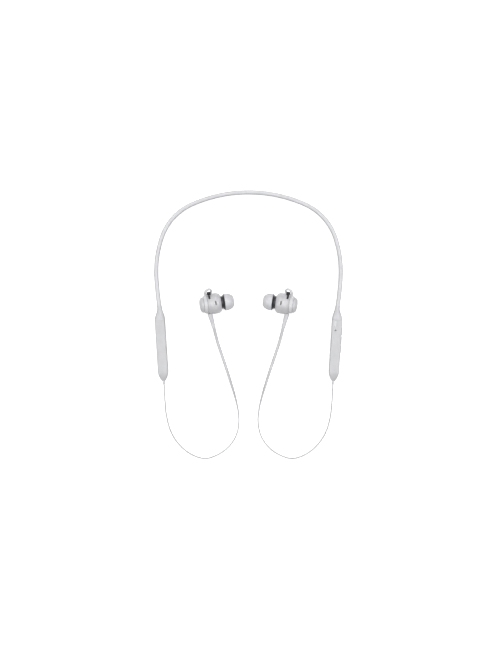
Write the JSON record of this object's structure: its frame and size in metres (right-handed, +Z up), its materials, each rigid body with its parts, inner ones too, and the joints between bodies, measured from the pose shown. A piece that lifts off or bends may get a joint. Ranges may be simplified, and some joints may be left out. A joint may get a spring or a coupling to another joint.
{
  "type": "neckband earphones",
  "caption": "Flexible silicone neckband with a housing at each end and two wired in-ear buds on flat cables, with side keys, a covered charging socket and removable ear tips.",
  "frame": {"origin": "on the table, under the middle of the neckband and its two housings, cables left out", "axes": "+Z up from the table, +X to the right housing with the keys, +Y towards the nape"},
  "size_m": [0.1502, 0.2143, 0.0175],
  "materials": {
    "band_silicone": "satin silicone, very light grey",
    "pod_plastic": "fine matt moulded plastic, off-white",
    "bud_plastic": "polished moulded plastic, off-white",
    "soft_silicone": "soft matt silicone",
    "tip_silicone": "soft satin silicone, slightly translucent",
    "cable_jacket": "smooth flexible jacket",
    "black_plastic": "dark moulded plastic",
    "light_lens": "frosted light window",
    "spring_steel": "drawn spring wire",
    "steel": "plated sheet steel",
    "copper_wire": "enamelled copper",
    "foil": "aluminium pouch",
    "foam": "soft foam",
    "circuit_board": "solder resist"
  },
  "bodies": {
    "nape": {"nape_sheath": "band_silicone", "nape_memory_wire": "spring_steel", "nape_lead": "copper_wire"},
    "left_arm": {"left_arm_sheath": "band_silicone", "left_memory_wire": "spring_steel", "left_lead": "copper_wire", "left_boot": "band_silicone", "left_back_cover": "pod_plastic", "left_front_cover": "pod_plastic", "left_gland": "soft_silicone", "battery": "foil", "battery_pad": "foam", "protection_board": "circuit_board"},
    "right_arm": {"right_arm_sheath": "band_silicone", "right_memory_wire": "spring_steel", "right_lead": "copper_wire", "right_boot": "band_silicone", "right_back_cover": "pod_plastic", "right_front_cover": "pod_plastic", "right_gland": "soft_silicone", "main_board": "circuit_board", "radio_module": "steel", "side_switches": "black_plastic", "light_guide": "light_lens", "microphone": "steel", "microphone_seal": "foam", "charging_port": "steel"},
    "left_earbud": {"left_cable": "cable_jacket", "left_bud_cap": "bud_plastic", "left_bud_magnet": "steel", "left_chassis": "black_plastic", "left_ear_ring": "soft_silicone", "left_drum_shell": "bud_plastic", "left_driver_basket": "steel", "left_driver_motor": "black_plastic", "left_diaphragm": "copper_wire", "left_nozzle": "black_plastic", "left_nozzle_mesh": "steel", "left_bud_relief": "soft_silicone"},
    "right_earbud": {"right_cable": "cable_jacket", "right_bud_cap": "bud_plastic", "right_bud_magnet": "steel", "right_chassis": "black_plastic", "right_ear_ring": "soft_silicone", "right_drum_shell": "bud_plastic", "right_driver_basket": "steel", "right_driver_motor": "black_plastic", "right_diaphragm": "copper_wire", "right_nozzle": "black_plastic", "right_nozzle_mesh": "steel", "right_bud_relief": "soft_silicone"},
    "left_ear_tip": {"left_ear_tip": "tip_silicone"},
    "right_ear_tip": {"right_ear_tip": "tip_silicone"},
    "volume_up_key": {"volume_up_key": "soft_silicone"},
    "multifunction_key": {"multifunction_key": "soft_silicone"},
    "volume_down_key": {"volume_down_key": "soft_silicone"},
    "port_flap": {"port_flap": "soft_silicone"}
  },
  "joints": [
    {"name": "left_arm_flex", "type": "hinge", "parent": "nape", "child": "left_arm", "pos_m": [-0.05995, 0.05515, 0.0042], "axis": [0, 0, -1], "range_deg": [0, 25], "stiffness_Nm_per_rad": 0.05},
    {"name": "left_cable_swing", "type": "hinge", "parent": "left_arm", "child": "left_earbud", "pos_m": [-0.0672, -0.07634, 0.0042], "axis": [0, 0, 1], "range_deg": [-4, 14], "deforming": ["left_cable"]},
    {"name": "left_ear_tip_pull", "type": "slide", "parent": "left_earbud", "child": "left_ear_tip", "axis": [0.9848, 0.1384, -0.1045], "range_m": [0, 0.006]},
    {"name": "right_arm_flex", "type": "hinge", "parent": "nape", "child": "right_arm", "pos_m": [0.05995, 0.05515, 0.0042], "axis": [0, 0, 1], "range_deg": [0, 25], "stiffness_Nm_per_rad": 0.05},
    {"name": "right_cable_swing", "type": "hinge", "parent": "right_arm", "child": "right_earbud", "pos_m": [0.0672, -0.07634, 0.0042], "axis": [0, 0, -1], "range_deg": [-4, 14], "deforming": ["right_cable"]},
    {"name": "right_ear_tip_pull", "type": "slide", "parent": "right_earbud", "child": "right_ear_tip", "axis": [-0.9848, 0.1384, -0.1045], "range_m": [0, 0.006]},
    {"name": "volume_up_key_press", "type": "slide", "parent": "right_arm", "child": "volume_up_key", "axis": [-0.998, 0.0628, 0], "range_m": [0, 0.0003], "stiffness_N_per_m": 600},
    {"name": "multifunction_key_press", "type": "slide", "parent": "right_arm", "child": "multifunction_key", "axis": [-0.998, 0.0628, 0], "range_m": [0, 0.0003], "stiffness_N_per_m": 600},
    {"name": "volume_down_key_press", "type": "slide", "parent": "right_arm", "child": "volume_down_key", "axis": [-0.998, 0.0628, 0], "range_m": [0, 0.0003], "stiffness_N_per_m": 600},
    {"name": "port_flap_hinge", "type": "hinge", "parent": "right_arm", "child": "port_flap", "pos_m": [0.06482, -0.05445, 0.0045], "axis": [0, 0, -1], "range_deg": [0, 110]}
  ]
}
